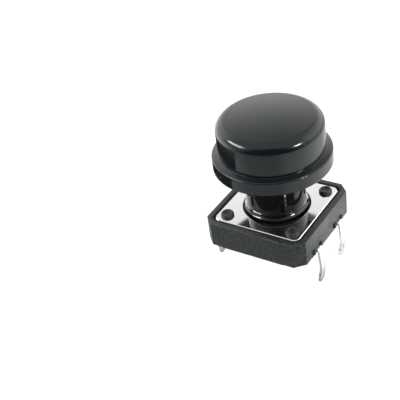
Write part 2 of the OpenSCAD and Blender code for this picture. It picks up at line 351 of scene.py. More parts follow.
def stretched(point, turn, stretch):
    """A point turned about Z and stretched."""
    for name, value in (("Rotation", (0.0, 0.0, turn)), ("Scale", stretch)):
        point = add_node(point.tree, "ShaderNodeMapping", {"Vector": point, name: value})
    return point


def parts(point):
    """The X, Y and Z of a point."""
    node = add_node(point.tree, "ShaderNodeSeparateXYZ", {"Vector": point}, out=None)
    return [Signal(point.tree, socket) for socket in node.outputs]


def noise(point, grain, detail=2.0, roughness=0.5):
    """Noise of a grain in millimetres, from 0 to 1."""
    return add_node(point.tree, "ShaderNodeTexNoise", {
        "Vector": point, "Scale": 1.0 / (grain * MM), "Detail": detail, "Roughness": roughness})


def between(value, low, high, start=0.0, end=1.0):
    """Smooth step of a value between two limits, from start to end."""
    return add_node(value.tree, "ShaderNodeMapRange", {
        "Value": value, "From Min": low, "From Max": high, "To Min": start, "To Max": end},
        interpolation_type="SMOOTHSTEP")


def between_mm(value, low, high, start=0.0, end=1.0):
    """Smooth step of a length between two limits in millimetres."""
    return between(value, low * MM, high * MM, start, end)


def bump(height, depth, normal=None):
    """A bump of a depth in millimetres, over another one if that is given."""
    under = {} if normal is None else {"Normal": normal}
    return add_node(height.tree, "ShaderNodeBump", {
        "Height": height, "Distance": depth * MM, "Strength": 1.0, **under})


def light_path(tree, kind):
    """One of the outputs of the Light Path node."""
    return add_node(tree, "ShaderNodeLightPath", out=kind)


def along(point, azimuth, elevation=0.0):
    """How far a point or direction lies along this heading."""
    return add_node(point.tree, "ShaderNodeVectorMath", {
        0: point, 1: heading(azimuth, elevation)}, out="Value", operation="DOT_PRODUCT")


def new_material(name):
    """An empty node material and its Object coordinates; one of the same name is reused."""
    material = bpy.data.materials.get(name) or bpy.data.materials.new(name)
    material.use_nodes = True
    material.node_tree.nodes.clear()
    return material, add_node(material.node_tree, "ShaderNodeTexCoord", out="Object")


def finish_material(material, sockets):
    """Puts a Principled shader with these socket values at the end of a material."""
    end_shader(add_node(material.node_tree, "ShaderNodeBsdfPrincipled", sockets))
    return material


def end_shader(shader, kind="ShaderNodeOutputMaterial"):
    """Links a shader to its tree's output."""
    add_node(shader.tree, kind, {"Surface": shader}, out=None)


# --- materials


def base_plastic(scene):
    """Matt black moulding with a fine spark-eroded grain, a painted highlight along the rim's top edge and
    painted shade in the gap along the plate.
    """
    finish, size = scene.switch_finish, scene.switch_base
    material, point = new_material("matt_base_plastic")
    clouds = noise(point, 2.4, detail=3.0)
    coarse = noise(point, 0.3, detail=1.5, roughness=0.6)
    grain = noise(point, 0.2, detail=3.0, roughness=0.65)
    pits = noise(point, 0.05, detail=2.0, roughness=0.6)
    specks = between(noise(point, 0.12, detail=1.0), 0.74, 0.8)
    x, y, up = parts(point)
    outward = abs(x).larger(abs(y)) + up * 0.5
    arris = size.half + size.height / 2
    # Painted highlight: the band round the rim's top outer edge is lighter, patchy by the grain.
    painted_edge_highlight = between(outward, arris - 0.14 * MM, arris - 0.04 * MM) * between(grain, 0.35, 0.7)
    straight = size.half - size.rim - size.seat_corner
    past_x, past_y = ((abs(side) - straight).larger(0.0) for side in (x, y))
    from_seat = (past_x * past_x + past_y * past_y).root() - size.seat_corner
    # Painted shade: darker down the seat's inner wall and in the gap along the plate.
    painted_gap_shade = between_mm(from_seat, -0.03, 0.0) * between_mm(from_seat, 0.12, 0.24, 1.0, 0.0)
    painted_gap_shade = painted_gap_shade * between_mm(up - size.height, -0.3, -0.2)
    # The coats lay on tone and grain, the painted edge highlight, specks and the painted shade in the gap.
    tone = coated(
        finish.base, 0.86, (between(clouds, 0.3, 0.7), 1.16), (between(coarse, 0.52, 0.66), 2.3),
        (between(coarse, 0.46, 0.32), 0.4), (painted_edge_highlight * 0.5, 2.2), (specks * 0.35, 3.0),
        (painted_gap_shade * between(grain, 0.25, 0.5, 0.75, 0.95), 0.12))
    roughness = between(clouds, 0.2, 0.8, finish.base_roughness - 0.05, finish.base_roughness + 0.07)
    return finish_material(material, {
        "Base Color": tone, "Roughness": roughness - painted_edge_highlight * 0.08 + painted_gap_shade * 0.25, "IOR": 1.5,
        "Normal": bump(coarse, 0.04, bump(grain, 0.04, bump(pits, 0.008)))})


def stem_plastic(scene):
    """Glossy black moulding with a painted highlight streak down one side, a painted glint at its top, and
    faint handling marks.
    """
    finish = scene.switch_finish
    material, point = new_material("gloss_stem_plastic")
    haze = noise(point, 1.3, detail=3.0)
    wave = noise(point, 0.8, detail=1.0)
    beads = noise(point, 0.35, detail=2.0)
    marks = between(noise(stretched(point, 0.0, (1.0, 1.0, 0.12)), 0.05, detail=2.0), 0.62, 0.7)
    height = parts(point)[2]
    ahead, beside = (along(point, finish.painted_streak_heading + turn) for turn in (0.0, math.pi / 2))
    # Painted highlight: a light streak down the stem at one heading, fading in upwards.
    seam = between_mm(ahead, 1.0, 2.0) * between_mm(abs(beside), 0.03, 0.15, 1.0, 0.0)
    seam = seam * between_mm(height, 4.1, 5.7, 0.0, 0.9) * between(beads, 0.35, 0.6, 0.25, 1.0)
    above = height - scene.switch_button.collar_top
    flared = between_mm(above, -0.02, 0.02) * between_mm(above, 0.4, 0.6, 1.0, 0.0)
    tone = coated(
        finish.stem, 1.0, (marks * 0.3, 3.0), (seam, finish.seam),
        # A painted glint at the top end of the painted streak.
        (seam * between_mm(height, 6.0, 6.1), finish.painted_streak_glint))
    roughness = between(haze, 0.3, 0.75, finish.stem_roughness - 0.03, finish.stem_roughness + 0.05)
    return finish_material(material, {
        "Base Color": tone, "Roughness": roughness + marks * 0.06 + seam * 0.2,
        "Specular IOR Level": 0.22, "IOR": 1.5, "Coat Weight": flared * 0.9, "Coat Roughness": 0.1,
        "Normal": bump(wave, 0.004)})


def cap_plastic(scene):
    """Satin black moulding with a soft orange-peel skin, cloudy tone and a little dust."""
    finish = scene.switch_finish
    material, point = new_material("satin_cap_plastic")
    clouds = noise(point, 3.0, detail=2.0)
    skin = noise(point, 0.5, detail=2.0)
    fine = noise(point, 0.06, detail=2.0)
    dust = between(noise(point, 0.22, detail=0.0), 0.81, 0.88)
    roughness = between(clouds, 0.25, 0.75, finish.cap_roughness - 0.03, finish.cap_roughness + 0.04)
    return finish_material(material, {
        "Base Color": coated(finish.cap, 0.85, (clouds, 1.15), (dust * 0.6, finish.dust)),
        "Roughness": roughness + dust * 0.3, "IOR": 1.5,
        "Normal": bump(skin, 0.0035, bump(fine, 0.0006))})


def plate_steel(scene):
    """Polished steel with a fine diagonal grain and a few smears."""
    finish = scene.switch_finish
    material, point = new_material("polished_cover_steel")
    grain = noise(stretched(point, math.radians(52), (1.0, 0.02, 1.0)), 0.03, detail=2.0, roughness=0.6)
    smear = noise(point, 1.6, detail=3.0, roughness=0.6)
    roughness = between(smear, 0.35, 0.75, finish.plate_roughness - 0.02, finish.plate_roughness + 0.04)
    return finish_material(material, {
        "Base Color": coated(finish.plate, 1.0, (grain * 0.5, 0.88)), "Metallic": 1.0,
        "Roughness": roughness + grain * 0.03, "Normal": bump(grain, 0.0003)})


def tin_plating(scene):
    """Bright tin over stamped strip, with drawn lines, dull patches, and tips that are darker in patches."""
    finish = scene.switch_finish
    material, point = new_material("bright_tin_plating")
    lines = noise(stretched(point, 0.0, (1.0, 1.0, 0.06)), 0.035, detail=2.0)
    patches = noise(point, 0.5, detail=3.0, roughness=0.6)
    dull = between(patches, 0.5, 0.72)
    # Darker in patches towards the tips.
    darker_patches = between_mm(parts(point)[2], -1.6, -3.0) * between(noise(point, 0.5, detail=2.0), 0.42, 0.58)
    return finish_material(material, {
        "Base Color": coated(finish.tin, 1.0, (dull * 0.5, 0.8), (darker_patches * 0.8, 0.42)), "Metallic": 1.0,
        "Roughness": dull * 0.12 + darker_patches * 0.1 + between(lines, 0.3, 0.7, 0.14, 0.24),
        "Normal": bump(lines, 0.003, bump(patches, 0.006))})


def dome_steel(scene):
    """Spring steel with rings left by forming."""
    finish = scene.switch_finish
    material, point = new_material("formed_dome_steel")
    rings = add_node(point.tree, "ShaderNodeTexWave", {
        "Vector": point, "Scale": 2600.0, "Distortion": 1.2, "Detail": 2.0},
        wave_type="RINGS", rings_direction="Z")
    darker_patches = noise(point, 1.2, detail=3.0)
    return finish_material(material, {
        "Base Color": coated(finish.dome, 1.0, (darker_patches * 0.4, 0.8)), "Metallic": 1.0,
        "Roughness": between(darker_patches, 0.3, 0.7, 0.2, 0.34), "Normal": bump(rings, 0.0015)})


# --- mesh helpers


def quarter_turn(steps):
    """Sines and cosines at even steps over a quarter turn, both ends among them."""
    turns = [math.pi / 2 * i / steps for i in range(steps + 1)]
    return [(math.sin(turn), math.cos(turn)) for turn in turns]


def to_circle(radius):
    """Ring of points on a circle, from +X anticlockwise."""
    turn = np.arange(RING) * (2 * math.pi / RING)
    return np.stack([np.cos(turn), np.sin(turn)], 1) * radius


def from_quarter(points):
    """Ring from the points of its first quarter, turned three times."""
    rings = [np.array(points, float)]
    for _ in range(3):
        rings.append(rings[-1][:, ::-1] * (-1, 1))
    return np.concatenate(rings)


def to_round_square(half, radius):
    """Ring of points on a square with round corners."""
    straight, corner = RING // 16, RING // 8
    near = half - radius
    first = [(half, near * i / straight) for i in range(straight)]
    arc = [(near + radius * cosine, near + radius * sine) for sine, cosine in quarter_turn(corner)[:-1]]
    last = [(near * (1 - i / straight), half) for i in range(straight)]
    return from_quarter(first + arc + last)


def to_cut_square(half, cut, soften=0.08):
    """Ring of points on a square whose corners are cut flat, with softened arrises."""
    straight, corner = RING // 16, RING // 8
    near, bend = half - cut, corner // 4
    side, slope = near - soften, soften * 0.7
    first = [(half, side * i / straight) for i in range(straight)]
    bend_in = arc_between((half, side), (half, near), (half - slope, near + slope), bend)
    bend_out = arc_between((near + slope, half - slope), (near, half), (side, half), bend)
    flat = [part_way(bend_in[-1], bend_out[0], i / (corner - 2 * bend)) for i in range(corner - 2 * bend)]
    last = [(side * (1 - i / straight), half) for i in range(straight)]
    return from_quarter(first + bend_in[:-1] + flat + bend_out[:-1] + last)


def part_way(start, end, share):
    """Point this share of the way from one point to another."""
    return np.array(start) + (np.array(end) - start) * share


def arc_between(start, corner, end, steps):
    """Points of a soft bend from start to end round a corner, both ends among them."""
    a, b, c = (np.array(point, float) for point in (start, corner, end))
    return [(1 - t) ** 2 * a + 2 * t * (1 - t) * b + t * t * c for t in (i / steps for i in range(steps + 1))]


def rounded(points):
    """Profile of points (r, z), where (r, z, radius) or (r, z, radius, steps) become fillets.

    A guard point just clear of each fillet holds the straight run beside it flat.
    """
    out = []
    for i, (r, z, *fillet) in enumerate(points):
        if not fillet:
            out.append((r, z))
            continue
        radius, steps = (*fillet, SMALL_ARC)[:2]
        here = Vector((r, z))
        before = (Vector(points[i - 1][:2]) - here).normalized()
        after = (Vector(points[i + 1][:2]) - here).normalized()
        half = before.angle(after) / 2
        reach = radius / math.tan(half)
        centre = here + (before + after).normalized() * (radius / math.sin(half))
        start, end = here + before * reach - centre, here + after * reach - centre
        sweep = start.angle_signed(end)
        out.append(tuple(here + before * (reach + GUARD)))
        for k in range(steps + 1):
            out.append(tuple(centre + Matrix.Rotation(-sweep * k / steps, 2) @ start))
        out.append(tuple(here + after * (reach + GUARD)))
    return out


def turned(profile):
    """Rings of a round piece from its profile (r, z); a point on the axis is a pole."""
    return [([(0.0, 0.0)] if r < 1e-6 else to_circle(r), z) for r, z in profile]


def loft(rings):
    """Mesh through rings of (points, height) in millimetres, closed at both ends."""
    mesh = bmesh.new()
    rows = [[mesh.verts.new((x * MM, y * MM, height * MM)) for x, y in points] for points, height in rings]
    for low, high in zip(rows, rows[1:]):
        for i in range(RING):
            j = (i + 1) % RING
            corners = [low[i % len(low)], low[j % len(low)], high[j % len(high)], high[i % len(high)]]
            mesh.faces.new(list(dict.fromkeys(corners)))
    for end in (rows[0][::-1], rows[-1]):
        if len(end) > 1:
            mesh.faces.new(end)
    bmesh.ops.recalc_face_normals(mesh, faces=mesh.faces)
    return mesh


def add_box(mesh, corner, opposite, soften=0.0):
    """Adds a box between two opposite corners, in millimetres, with softened edges if wanted."""
    low, high = (Vector([pick(pair) for pair in zip(corner, opposite)]) * MM for pick in (min, max))
    place = Matrix.Translation((low + high) / 2) @ Matrix.Diagonal((*(high - low), 1.0))
    made = bmesh.ops.create_cube(mesh, size=1.0, matrix=place)["verts"]
    if soften:
        edges = {edge for vert in made for edge in vert.link_edges}
        bmesh.ops.bevel(mesh, geom=list(edges), offset=soften * MM, segments=2, profile=0.5, affect="EDGES")


def add_disc(mesh, radius, low, high):
    """Adds a disc about the axis between two heights, in millimetres."""
    bmesh.ops.create_cone(
        mesh, cap_ends=True, segments=RING // 2, radius1=radius * MM, radius2=radius * MM,
        depth=(high - low) * MM, matrix=Matrix.Translation((0.0, 0.0, (low + high) / 2 * MM)))


def to_object(name, mesh):
    """Object of a finished bmesh; an earlier object of that name goes."""
    data = bpy.data.meshes.new(name)
    mesh.to_mesh(data)
    mesh.free()
    return place_object(name, data)


def place_object(name, data):
    """Links an object with this data at the origin; an earlier object of that name goes."""
    old = bpy.data.objects.get(name)
    if old is not None:
        bpy.data.objects.remove(old)
    data.name = name
    obj = bpy.data.objects.new(name, data)
    bpy.context.scene.collection.objects.link(obj)
    return obj


def settled(obj):
    """The object with its modifiers worked into a plain mesh."""
    bpy.context.view_layer.update()
    shaped = obj.evaluated_get(bpy.context.evaluated_depsgraph_get())
    data = bpy.data.meshes.new_from_object(shaped)
    name = obj.name
    bpy.data.objects.remove(obj)
    if not data.polygons:
        raise RuntimeError(f"{name} came out empty")
    return place_object(name, data)


def merged_mesh(obj):
    """A bmesh of the object with its doubles merged."""
    mesh = bmesh.new()
    mesh.from_mesh(obj.data)
    bmesh.ops.remove_doubles(mesh, verts=mesh.verts, dist=MERGE)
    return mesh


def put_back(obj, mesh):
    """Gives a bmesh to an object, with its faces turned outwards."""
    bmesh.ops.recalc_face_normals(mesh, faces=mesh.faces)
    mesh.to_mesh(obj.data)
    mesh.free()


def cut_away(obj, cutter_mesh):
    """Takes a cutter of closed blocks out of an object."""
    cutter = to_object(obj.name + "_cutter", cutter_mesh)
    knife = obj.modifiers.new("cut", "BOOLEAN")
    knife.operation, knife.solver, knife.object = "DIFFERENCE", "EXACT", cutter
    knife.use_self = True
    obj = settled(obj)
    bpy.data.objects.remove(cutter)
    return obj


def finish_piece(obj, material, body, slot, *nodes, held_flat=True):
    """Gives a piece its material and smooth faces and rides it on its body; its slot is not used.

    Its edges stay sharp, and its flats may be held flat. The CAD nodes are those it stands for.
    """
    obj.data.materials.clear()
    obj.data.materials.append(material)
    obj.data.shade_smooth()
    obj.data.set_sharp_from_angle(angle=SHARP_ANGLE)
    if held_flat:
        obj.modifiers.new("held_flat", "WEIGHTED_NORMAL").keep_sharp = True
    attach(obj, body)
    if nodes:
        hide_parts(*nodes)


# --- geometry trees


def new_tree(name, lengths, wholes=()):
    """A geometry tree with a geometry input and output, these named inputs and a material."""
    old = bpy.data.node_groups.get(name)
    if old is not None:
        bpy.data.node_groups.remove(old)
    tree = bpy.data.node_groups.new(name, "GeometryNodeTree")
    tree.is_modifier = True
    tree.interface.new_socket(name="Geometry", in_out="OUTPUT", socket_type="NodeSocketGeometry")
    inputs = [("Geometry", "Geometry"), *((label, "Float") for label in lengths),
              *((label, "Int") for label in wholes), ("Material", "Material")]
    for label, kind in inputs:
        tree.interface.new_socket(name=label, in_out="INPUT", socket_type="NodeSocket" + kind)
    group = add_node(tree, "NodeGroupInput", out=None)
    return tree, {socket.name: Signal(tree, socket) for socket in group.outputs if socket.name}


def end_tree(geometry, material):
    """Realizes the instances, sets the material and ends the tree."""
    tree = geometry.tree
    plain = add_node(tree, "GeometryNodeRealizeInstances", {"Geometry": geometry})
    finished = add_node(tree, "GeometryNodeSetMaterial", {"Geometry": plain, "Material": material})
    add_node(tree, "NodeGroupOutput", {"Geometry": finished}, out=None)
    return tree


def grow(obj, tree, values):
    """Runs a geometry tree on an object with these inputs and keeps the plain mesh."""
    modifier = obj.modifiers.new(tree.name, "NODES")
    modifier.node_group = tree
    for item in tree.interface.items_tree:
        if item.in_out == "INPUT" and item.name in values:
            modifier[item.identifier] = values[item.name]
    return settled(obj)


def vector(tree, x=0.0, y=0.0, z=0.0):
    """A vector of three signals or numbers."""
    return add_node(tree, "ShaderNodeCombineXYZ", {"X": x, "Y": y, "Z": z})


def peg_tree():
    """Four copies of a peg on a square, their staked tops pressed to uneven craters."""
    tree, given = new_tree("staked_pegs", ["Station", "Lump height", "Lump level"], ["Seed"])
    span = given["Station"] * 2.0
    grid = add_node(tree, "GeometryNodeMeshGrid", {
        "Size X": span, "Size Y": span, "Vertices X": 2, "Vertices Y": 2})
    turns = add_node(tree, "FunctionNodeRandomValue", {
        2: 0.0, 3: 2 * math.pi, "Seed": given["Seed"]}, out=1, data_type="FLOAT")
    pegs = add_node(tree, "GeometryNodeInstanceOnPoints", {
        "Points": grid, "Instance": given["Geometry"], "Rotation": vector(tree, z=turns)})
    pegs = add_node(tree, "GeometryNodeRealizeInstances", {"Geometry": pegs})
    place = add_node(tree, "GeometryNodeInputPosition")
    lumps = add_node(tree, "ShaderNodeTexNoise", {
        "Vector": place, "W": given["Seed"] * 1.7, "Scale": 3600.0, "Detail": 2.0, "Roughness": 0.6},
        noise_dimensions="4D")
    rise = (lumps - 0.5) * given["Lump height"] * 2.0 * (parts(place)[2] > given["Lump level"])
    pegs = add_node(tree, "GeometryNodeSetPosition", {
        "Geometry": pegs, "Offset": vector(tree, rise * 0.35, rise * -0.35, rise)})
    return end_tree(pegs, given["Material"])


def rib_tree():
    """A pair of ribs at each pin, on both sides of the base."""
    tree, given = new_tree("pin_ribs", ["Pin station", "Rib station"])
    ribs = given["Geometry"]
    for station in ("Rib station", "Pin station"):
        pair = add_node(tree, "GeometryNodeMeshLine", {
            "Count": 2, "Start Location": vector(tree, y=given[station] * -1.0),
            "Offset": vector(tree, y=given[station])}, mode="END_POINTS")
        ribs = add_node(tree, "GeometryNodeInstanceOnPoints", {"Points": pair, "Instance": ribs})
    sides = add_node(tree, "GeometryNodeJoinGeometry", out=None)
    other = add_node(tree, "GeometryNodeTransform", {"Geometry": ribs, "Rotation": (0.0, 0.0, math.pi)})
    for side in (ribs, other):
        tree.links.new(side.socket, sides.inputs[0])
    return end_tree(Signal(tree, sides.outputs[0]), given["Material"])


def leg_tree():
    """A flat pin swept along its bent path, and its copy on the other side."""
    tree, given = new_tree("bent_pins", ["Width", "Thickness", "Edge", "Station"])
    section = add_node(tree, "GeometryNodeCurvePrimitiveQuadrilateral", {
        "Width": given["Width"], "Height": given["Thickness"]})
    section = add_node(tree, "GeometryNodeFilletCurve", {
        "Curve": section, "Count": 3, "Radius": given["Edge"]}, mode="POLY")
    path = add_node(tree, "GeometryNodeSetCurveNormal", {
        "Curve": given["Geometry"], "Normal": (0.0, 1.0, 0.0)}, mode="FREE")
    leg = add_node(tree, "GeometryNodeCurveToMesh", {
        "Curve": path, "Profile Curve": section, "Fill Caps": True,
        "Scale": add_node(tree, "GeometryNodeInputRadius")})
    sides = add_node(tree, "GeometryNodeMeshLine", {
        "Count": 2, "Start Location": (0.0, 0.0, 0.0), "Offset": (0.0, 0.0, 0.0)}, mode="END_POINTS")
    index = add_node(tree, "GeometryNodeInputIndex")
    legs = add_node(tree, "GeometryNodeInstanceOnPoints", {
        "Points": sides, "Instance": leg, "Rotation": vector(tree, z=index * math.pi)})
    legs = add_node(tree, "GeometryNodeTransform", {
        "Geometry": legs, "Translation": vector(tree, y=given["Station"])})
    return end_tree(legs, given["Material"])


# --- operators


class SWITCH_OT_base(bpy.types.Operator):
    """Builds the moulded base with its rim, seat, contact chamber and underside recesses"""
    bl_idname = "switch_part.base"
    bl_label = "Moulded base"

    def execute(self, context):
        scene = context.scene
        size, seat_z = in_mm(scene.switch_base), PLATE_LOW.z

        def outer(inset):
            return to_cut_square(size.half - inset, size.corner_cut - inset * (2 - math.sqrt(2)))

        def seat_edge(spread):
            return to_round_square(size.half - size.rim + spread, size.seat_corner + spread)

        rings = [(outer(size.foot * (1 - sine)), size.foot * (1 - cosine))
                 for sine, cosine in quarter_turn(SMALL_ARC)]
        rings += [(outer(size.edge * (1 - cosine)), size.height - size.edge * (1 - sine))
                  for sine, cosine in quarter_turn(FINE_ARC)]
        rings += [(seat_edge(size.lip * (1 - sine)), size.height - size.lip * (1 - cosine))
                  for sine, cosine in quarter_turn(SMALL_ARC)]
        rings += [(seat_edge(0.0), seat_z), (to_circle(size.chamber + size.lip), seat_z),
                  (to_circle(size.chamber), seat_z - size.lip), (to_circle(size.chamber), size.floor)]
        piece = cut_away(to_object("moulded_base", loft(rings)), self.recesses(scene))
        finish_piece(piece, base_plastic(scene), "switch_base", "base_plastic", "base")
        return {"FINISHED"}

    @staticmethod
    def recesses(scene):
        """Blocks that cut the pin notches, the corner reliefs and the contact pockets."""
        size, pins = in_mm(scene.switch_base), in_mm(scene.switch_pins)
        notch = pins.width / 2 + in_mm(scene.switch_ribs).gap
        notch_top = pins.exit_height + pins.thickness / 2 + NOTCH_GAP
        notch_in, relief_in = size.half - size.rim / 2, size.half - size.relief
        outside, below = size.half + CLEAR, -CLEAR
        pin_y = CENTRE_HIGH.y - pins.width / 2
        cutters = bmesh.new()
        for sx in SIDES:
            for sy in SIDES:
                add_box(cutters, (sx * notch_in, sy * (pin_y - notch), below),
                        (sx * outside, sy * (pin_y + notch), notch_top))
                add_box(cutters, (sx * relief_in, sy * relief_in, below),
                        (sx * outside, sy * outside, size.relief_depth))
            x = sx * DOME_HIGH.x
            add_box(cutters, (x - size.pocket_x, -size.pocket_y, below),
                    (x + size.pocket_x, size.pocket_y, size.pocket_depth))
        return cutters


class SWITCH_OT_pegs(bpy.types.Operator):
    """Builds the four staked pegs that hold the cover plate"""
    bl_idname = "switch_part.pegs"
    bl_label = "Staked pegs"

    def execute(self, context):
        scene = context.scene
        size, pegs, plastic = in_mm(scene.switch_pegs), scene.switch_pegs, base_plastic(scene)
        shank, head, top = size.shank, size.head, size.top
        foot, face = 2.0, PLATE_HIGH.z
        under = face + 0.005
        profile = rounded([
            (0.0, foot), (shank, foot), (shank, under), (head - 0.02, under, 0.05), (head, face + 0.17, 0.06),
            (head - 0.1, top, 0.09, 5), (head - 0.24, top - 0.005, 0.05), (head - 0.36, top - 0.12, 0.1),
            (0.3, top - 0.13), (0.16, top - 0.14), (0.0, top - 0.13)])
        piece = grow(to_object("staked_pegs", loft(turned(profile))), peg_tree(), {
            "Station": pegs.station, "Lump height": pegs.roughness, "Lump level": (face + 0.14) * MM,
            "Seed": pegs.seed, "Material": plastic})
        finish_piece(piece, plastic, "switch_base", "base_plastic", held_flat=False)
        return {"FINISHED"}


class SWITCH_OT_ribs(bpy.types.Operator):
    """Builds the ribs that stand beside the pins"""
    bl_idname = "switch_part.ribs"
    bl_label = "Pin ribs"

    def execute(self, context):
        scene = context.scene
        size, base, plastic = in_mm(scene.switch_ribs), in_mm(scene.switch_base), base_plastic(scene)
        half_pin, half_rib = in_mm(scene.switch_pins).width / 2, size.thickness / 2
        root = base.half - base.rim / 2
        mesh = bmesh.new()
        add_box(mesh, (root, -half_rib, size.low), (size.reach, half_rib, size.high), size.edge)
        piece = grow(to_object("pin_ribs", mesh), rib_tree(), {
            "Pin station": (CENTRE_HIGH.y - half_pin) * MM,
            "Rib station": (half_pin + size.gap + half_rib) * MM, "Material": plastic})
        finish_piece(piece, plastic, "switch_base", "base_plastic")
        return {"FINISHED"}


class SWITCH_OT_plate(bpy.types.Operator):
    """Builds the polished cover plate with its rounded blanked edges"""
    bl_idname = "switch_part.plate"
    bl_label = "Cover plate"

    def execute(self, context):
        scene = context.scene
        size, station = in_mm(scene.switch_plate), in_mm(scene.switch_pegs).station
        edge = scene.switch_plate.edge
        curve = bpy.data.curves.new("cover_steel_plate", "CURVE")
        curve.dimensions, curve.fill_mode = "2D", "BOTH"
        curve.extrude = (PLATE_HIGH.z - PLATE_LOW.z) * MM / 2 - edge
        curve.bevel_depth, curve.bevel_resolution, curve.offset = edge, 0, -edge
        peg_hole = to_circle(size.peg_hole)[::4]
        holes = [to_circle(size.bore)]
        holes += [peg_hole + (sx * station, sy * station) for sx in SIDES for sy in SIDES]
        for points in [to_round_square(size.half, size.corner), *(hole[::-1] for hole in holes)]:
            spline = curve.splines.new("POLY")
            spline.points.add(len(points) - 1)
            for point, (x, y) in zip(spline.points, points):
                point.co = (x * MM, y * MM, 0.0, 1.0)
            spline.use_cyclic_u = True
        piece = settled(place_object("steel_cover_plate", curve))
        piece.data.transform(Matrix.Translation((0.0, 0.0, (PLATE_LOW.z + PLATE_HIGH.z) / 2 * MM)))
        put_back(piece, merged_mesh(piece))
        finish_piece(piece, plate_steel(scene), "switch_base", "cover_steel", "cover_plate")
        return {"FINISHED"}


class SWITCH_OT_terminals(bpy.types.Operator):
    """Builds the two terminals: pins bent down at both sides, strips and contacts inside"""
    bl_idname = "switch_part.terminals"
    bl_label = "Pins and terminals"

    def execute(self, context):
        scene = context.scene
        size, base = in_mm(scene.switch_pins), in_mm(scene.switch_base)
        half_pin, inner = size.width / 2, base.half - base.rim
        low, high = size.exit_height - size.thickness / 2, size.exit_height + size.thickness / 2
        pin_y, bar_end = CENTRE_HIGH.y - half_pin, inner + BAR_LAP
        tin, tree = tin_plating(scene), leg_tree()
        for kind, side in (("centre", 1), ("outer", -1)):
            row = side * pin_y
            piece = grow(place_object(f"{kind}_terminal", self.leg_path(size, inner)), tree, {
                "Width": size.width * MM, "Thickness": size.thickness * MM, "Edge": size.edge * MM,
                "Station": row * MM, "Material": tin})
            mesh = merged_mesh(piece)
            add_box(mesh, (-bar_end, row - half_pin, low), (bar_end, row + half_pin, high))
            if kind == "centre":
                add_box(mesh, (-half_pin, 0.0, low), (half_pin, pin_y, high))
                add_disc(mesh, -CENTRE_LOW.y, low, high)
                add_disc(mesh, size.button, high, CENTRE_HIGH.z)
            else:
                end, top = size.arm_end, OUTER_HIGH.z
                for x in (-DOME_HIGH.x, DOME_HIGH.x):
                    add_box(mesh, (x - size.arm, -pin_y, low), (x + size.arm, end, high))
                    add_box(mesh, (x - size.pad, -end, high), (x + size.pad, end, top))
            put_back(piece, mesh)
            finish_piece(piece, tin, "switch_base", "tinned_terminal", f"terminal_{kind}")
        return {"FINISHED"}

    @staticmethod
    def leg_path(size, inner):
        """Middle line of a pin from inside the base to its tip, narrowed at the tip."""
        bend, leg_x = size.bend, OUTER_HIGH.x - size.thickness / 2
        bend_x, tip_x = leg_x - size.lean - bend, leg_x - size.bow
        knee, tip = (leg_x, -size.kink_drop), (tip_x, OUTER_LOW.z)
        ankle = (tip_x + size.heel, -size.kink_drop - size.kink_height)
        points = [(inner, size.exit_height)]
        points += [(bend_x + bend * cosine, size.exit_height - bend + bend * sine)
                   for sine, cosine in quarter_turn(FINE_ARC)[::-1]]
        # Each bend of the kink leaves a straight stretch of the leg before and after it.
        points += arc_between(part_way(points[-1], knee, 0.75), knee, part_way(knee, ankle, 0.45), KNEE_STEPS)
        points += arc_between(part_way(knee, ankle, 0.6), ankle, part_way(ankle, tip, 0.4), KNEE_STEPS)
        widths = [1.0] * len(points) + [width for _, width in TIP_WIDTHS]
        points += [part_way(ankle, tip, share) for share, _ in TIP_WIDTHS]
        curve = bpy.data.curves.new("leg_path", "CURVE")
        curve.dimensions = "3D"
        spline = curve.splines.new("POLY")
        spline.points.add(len(points) - 1)
        for point, (x, z), width in zip(spline.points, points, widths):
            point.co, point.radius = (x * MM, 0.0, z * MM, 1.0), width
        return curve


class SWITCH_OT_dome(bpy.types.Operator):
    """Builds the snap dome, a dimpled steel shell; the real dome flattens as the button goes down"""
    bl_idname = "switch_part.dome"
    bl_label = "Snap dome"

    def execute(self, context):
        scene = context.scene
        size, low, high = in_mm(scene.switch_dome), DOME_LOW.z, DOME_HIGH.z
        rise = high - low - size.sheet
        half = DOME_HIGH.x - size.sheet * rise / DOME_HIGH.x
        bend = (half ** 2 + rise ** 2) / (2 * rise)
        reach = math.asin(half / bend)
        over, under = [], []
        for side, radius in ((over, bend + size.sheet), (under, bend)):
            for i in range(DOME_STEPS + 1):
                turn = reach * i / DOME_STEPS
                out = radius * math.sin(turn)
                inward = min(1.0, out / size.dimple)
                sunk = size.dimple_depth * (1 + math.cos(math.pi * inward)) / 2
                side.append((out, low + rise - bend + radius * math.cos(turn) - sunk))
        piece = to_object("snap_dome", loft(turned(over + under[::-1])))
        finish_piece(piece, dome_steel(scene), "switch_base", "dome_steel", "contact_dome", held_flat=False)
        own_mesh(piece)
        return {"FINISHED"}


class SWITCH_OT_plunger(bpy.types.Operator):
    """Builds the plunger: nub, flange, collar, flared stem and square tenon"""
    bl_idname = "switch_part.plunger"
    bl_label = "Plunger"

    def execute(self, context):
        scene = context.scene
        size, low, high = in_mm(scene.switch_button), PLUNGER_LOW.z, PLUNGER_HIGH.z
        stem, collar, collar_top, shoulder = size.stem, size.collar, size.collar_top, size.shoulder
        flange_low, flange_high = size.flange_low, size.flange_high
        rise, run = size.flare, collar - stem
        bend = (rise ** 2 + run ** 2) / (2 * run)
        flare = []
        for i in range(1, FINE_ARC + 1):
            height = rise * i / FINE_ARC
            flare.append((stem + bend - math.sqrt(bend ** 2 - (rise - height) ** 2), collar_top + height))
        rings = turned(rounded([
            (0.0, low), (size.nub, low, 0.12), (size.nub, flange_low), (size.flange, flange_low, 0.08),
            (size.flange, flange_high, 0.06), (collar, flange_high), (collar, collar_top, 0.03), *flare,
            (stem, shoulder, 0.06), (stem - 0.2, shoulder)]))
        tenon, tenon_end = to_round_square(size.tenon, 0.15), to_round_square(size.tenon - size.lead, 0.1)
        rings += [(tenon, shoulder), (tenon, high - size.lead), (tenon_end, high)]
        piece = to_object("plunger_stem", loft(rings))
        finish_piece(piece, stem_plastic(scene), "button", "plunger_plastic", "plunger")
        return {"FINISHED"}


